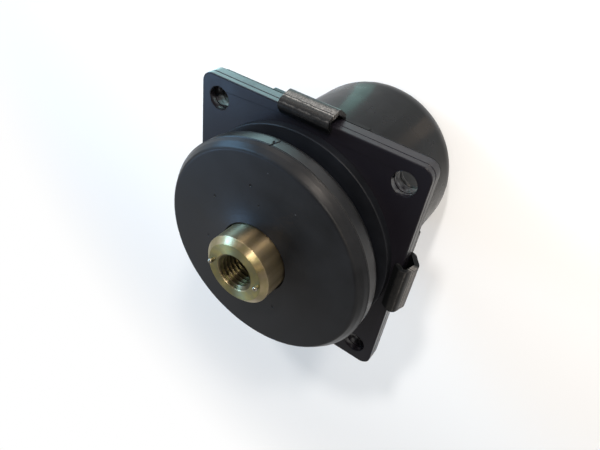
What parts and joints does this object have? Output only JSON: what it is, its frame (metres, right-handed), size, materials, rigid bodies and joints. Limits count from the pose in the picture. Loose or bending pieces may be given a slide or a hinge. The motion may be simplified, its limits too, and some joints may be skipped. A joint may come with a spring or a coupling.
{
  "type": "engine mount",
  "caption": "Hydraulic engine mount: a threaded steel boss held by bonded rubber in a square bolt-on flange, over a deep-drawn fluid housing with folded tabs.",
  "frame": {"origin": "Centre of the four-bolt pattern, on the front face of the flange, where it meets the mount's own axis.", "axes": "+Z is the mount's axis, pointing from the fluid housing to the threaded boss. X runs along the flange's short side and through the two locating pins, Y along its long side."},
  "size_m": [0.1434, 0.1494, 0.1656],
  "materials": {
    "zinc_plated_steel": "yellow-passivated zinc, satin",
    "bright_steel": "bright",
    "black_paint": "gloss black dip coat",
    "black_rubber": "matt moulded rubber",
    "cast_aluminium": "die cast"
  },
  "bodies": {
    "root": {"core": "zinc_plated_steel", "locating_pin_left": "bright_steel", "locating_pin_right": "bright_steel", "snubber_plate": "bright_steel", "snubber_cover": "black_rubber", "main_spring": "black_rubber", "front_plate": "black_paint", "flange_plate": "black_paint", "seal_ring": "black_rubber", "housing_can": "black_paint", "spacer_sleeve": "bright_steel", "upper_track_plate": "cast_aluminium", "lower_track_plate": "cast_aluminium", "decoupler_membrane": "black_rubber", "diaphragm": "black_rubber", "diaphragm_ring": "bright_steel", "rebound_washer": "bright_steel", "rebound_buffer": "black_rubber", "lock_washer": "bright_steel", "rebound_screw": "bright_steel"}
  },
  "joints": []
}
